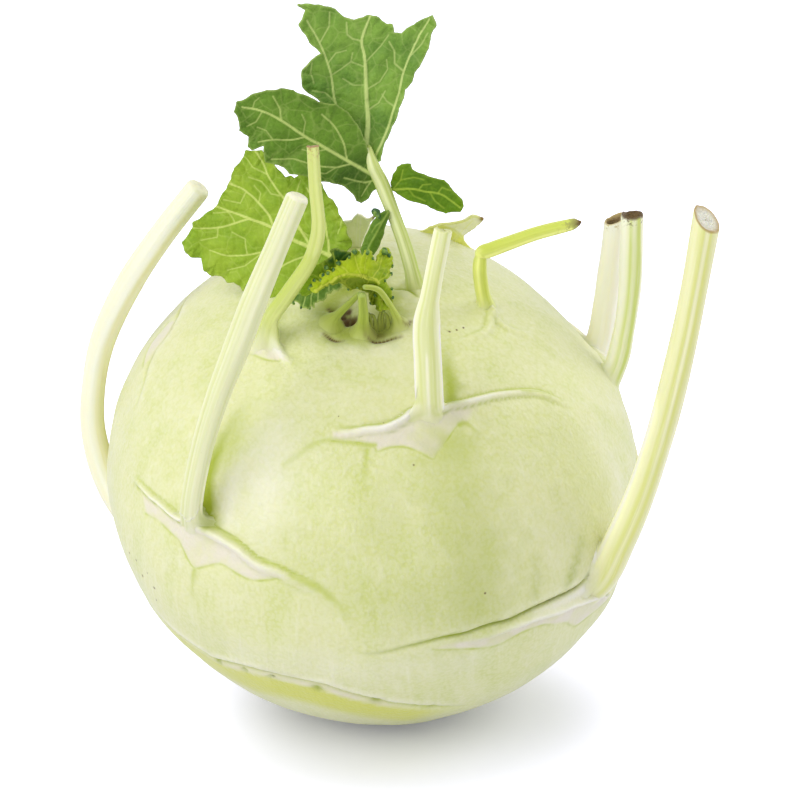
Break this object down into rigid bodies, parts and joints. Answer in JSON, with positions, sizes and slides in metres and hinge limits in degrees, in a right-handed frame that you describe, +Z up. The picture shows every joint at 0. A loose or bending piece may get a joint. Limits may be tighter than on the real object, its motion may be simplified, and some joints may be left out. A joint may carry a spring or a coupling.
{
  "type": "kohlrabi",
  "caption": "Pale green kohlrabi bulb on a small flat spot, with cut leaf stalks round its sides and a tuft of young leaves on its crown.",
  "frame": {"origin": "on the small flat spot that the bulb rests on, under the middle of the bulb", "axes": "+Z up from the surface it rests on, the crown leans towards -Y, which is the front, and +X is to the right of a viewer at the front"},
  "size_m": [0.1168, 0.099, 0.1385],
  "materials": {
    "bulb_skin": "satin",
    "cream_stalk": "satin",
    "green_stalk": "satin",
    "torn_skin": "matte",
    "leaf": "satin",
    "young_leaf": "satin"
  },
  "bodies": {
    "root": {"bulb": "bulb_skin", "stalk_left_outer": "cream_stalk", "stalk_left_front": "cream_stalk", "stalk_left_inner": "green_stalk", "stalk_front": "green_stalk", "stalk_bent": "green_stalk", "stalk_right_back": "cream_stalk", "stalk_right_green": "green_stalk", "stalk_right_front": "cream_stalk", "torn_stub_right": "torn_skin", "torn_stub_middle": "torn_skin", "leaf_petiole": "green_stalk", "leaf_end_lobe": "leaf", "leaf_left_lobe": "leaf", "leaf_right_leaflet": "leaf", "leaf_folded_leaflet": "leaf", "left_leaf_petiole": "green_stalk", "left_leaf_blade": "leaf", "young_leaf_blade": "young_leaf", "young_leaf_dark": "leaf", "crown_sprout_left": "green_stalk", "crown_sprout_middle": "green_stalk", "crown_sprout_right": "green_stalk"}
  },
  "joints": []
}
